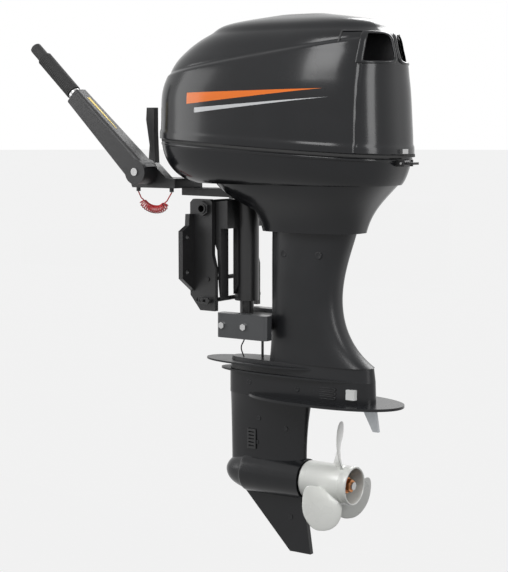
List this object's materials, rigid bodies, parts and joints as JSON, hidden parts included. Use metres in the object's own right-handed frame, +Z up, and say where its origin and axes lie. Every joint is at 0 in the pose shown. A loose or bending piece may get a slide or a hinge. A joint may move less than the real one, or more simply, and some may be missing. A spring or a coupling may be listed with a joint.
{
  "type": "outboard motor",
  "caption": "Tiller-steered outboard motor: lift-off engine cover, flared leg, gearcase with skeg, white bladed propeller, clamp brackets, tilting swivel, twist grip.",
  "frame": {"origin": "centre of the transom bolt pattern, on the plane where the clamp brackets meet the transom", "axes": "+X points aft, +Y to starboard, +Z up"},
  "size_m": [0.9964, 0.3278, 1.2153],
  "materials": {
    "cover_gloss": "gloss charcoal lacquer on moulded resin",
    "leg_paint": "satin charcoal paint on an aluminium casting",
    "cast_paint": "satin black paint on an aluminium casting",
    "black_steel": "satin black paint on steel",
    "prop_white": "gloss off-white paint on an aluminium casting",
    "rubber": "matt",
    "black_plastic": "fine texture",
    "steel": "bright",
    "zinc": "cast",
    "alloy": "as cast",
    "red_plastic": "gloss"
  },
  "bodies": {
    "clamp": {"clamp_bracket_port": "cast_paint", "clamp_bracket_starboard": "cast_paint", "tilt_tube": "black_steel", "tilt_tube_nuts": "black_steel", "trim_angle_rod": "black_steel", "bracket_tie_rod": "black_steel"},
    "swivel": {"swivel_bracket": "cast_paint", "swivel_bushes": "black_plastic"},
    "cover": {"top_cowl": "cover_gloss", "air_intake_ducts": "black_plastic", "latch_catch": "steel"},
    "latch": {"latch_lever": "black_plastic"},
    "crank": {"crankshaft": "steel", "flywheel": "steel", "driveshaft": "steel", "pinion": "steel"},
    "propeller": {"propeller_shaft": "steel", "forward_gear": "steel", "thrust_washer": "steel", "propeller": "prop_white", "propeller_bush": "rubber", "propeller_nut": "steel"},
    "reverse_gear": {"reverse_gear": "steel"},
    "tiller": {"tiller_arm": "black_plastic", "grip_collar": "steel"},
    "grip": {"throttle_grip": "rubber"},
    "shift_lever": {"shift_lever": "black_plastic"},
    "motor": {"apron": "cover_gloss", "bearing_carrier": "alloy", "bottom_cowl": "cover_gloss", "carburettors": "alloy", "cowl_seal": "rubber", "cylinder_block": "alloy", "cylinder_head": "alloy", "earth_lead": "rubber", "exhaust_guide": "cast_paint", "gearcase": "leg_paint", "intake_silencer": "black_plastic", "lanyard_anchors": "black_plastic", "lanyard_coil": "red_plastic", "lanyard_tails": "red_plastic", "latch_ears": "black_steel", "latch_pin": "steel", "lever_pivot_pin": "steel", "lower_mount_covers": "cast_paint", "lower_yoke": "cast_paint", "mount_bolts": "steel", "pistons": "alloy", "rubber_mounts": "rubber", "shift_rod": "black_steel", "side_anodes": "zinc", "spark_plugs": "steel", "starter_housing": "cast_paint", "starter_ledges": "cast_paint", "steering_yoke": "black_steel", "tiller_bracket": "cast_paint", "tiller_pivot_pin": "steel", "trim_tab": "zinc", "upper_case": "leg_paint", "water_inlet_grilles": "black_plastic"}
  },
  "joints": [
    {"name": "tilt", "type": "hinge", "parent": "clamp", "child": "swivel", "pos_m": [0.04, 0, 0.105], "axis": [0, -1, 0], "range_deg": [0, 60]},
    {"name": "steer", "type": "hinge", "parent": "swivel", "child": "motor", "pos_m": [0.095, 0, 0], "axis": [0, 0, 1], "range_deg": [-25, 25]},
    {"name": "cover_lift", "type": "slide", "parent": "motor", "child": "cover", "axis": [0, 0, 1], "range_m": [0, 0.34]},
    {"name": "latch_turn", "type": "hinge", "parent": "motor", "child": "latch", "pos_m": [0.511, 0, 0.212], "axis": [0, 1, 0], "range_deg": [0, 50]},
    {"name": "crank_spin", "type": "hinge", "parent": "motor", "child": "crank", "pos_m": [0.215, 0, 0], "axis": [0, 0, 1], "continuous": true},
    {"name": "propeller_spin", "type": "hinge", "parent": "motor", "child": "propeller", "pos_m": [0.3, 0, -0.507], "axis": [1, 0, 0], "continuous": true},
    {"name": "reverse_gear_spin", "type": "hinge", "parent": "motor", "child": "reverse_gear", "pos_m": [0.23, 0, -0.507], "axis": [1, 0, 0], "continuous": true},
    {"name": "tiller_fold", "type": "hinge", "parent": "motor", "child": "tiller", "pos_m": [-0.125, -0.112, 0.186], "axis": [0, 1, 0], "range_deg": [-42, 35]},
    {"name": "throttle_twist", "type": "hinge", "parent": "tiller", "child": "grip", "pos_m": [-0.125, -0.112, 0.186], "axis": [-0.7431, 0, 0.6691], "range_deg": [0, 80]},
    {"name": "shift", "type": "hinge", "parent": "motor", "child": "shift_lever", "pos_m": [-0.15, -0.034, 0.186], "axis": [0, 1, 0], "range_deg": [-22, 10]}
  ],
  "couplings": [
    {"joint": "propeller_spin", "follows": "crank_spin", "ratio": 0.54167},
    {"joint": "reverse_gear_spin", "follows": "crank_spin", "ratio": -0.54167}
  ]
}
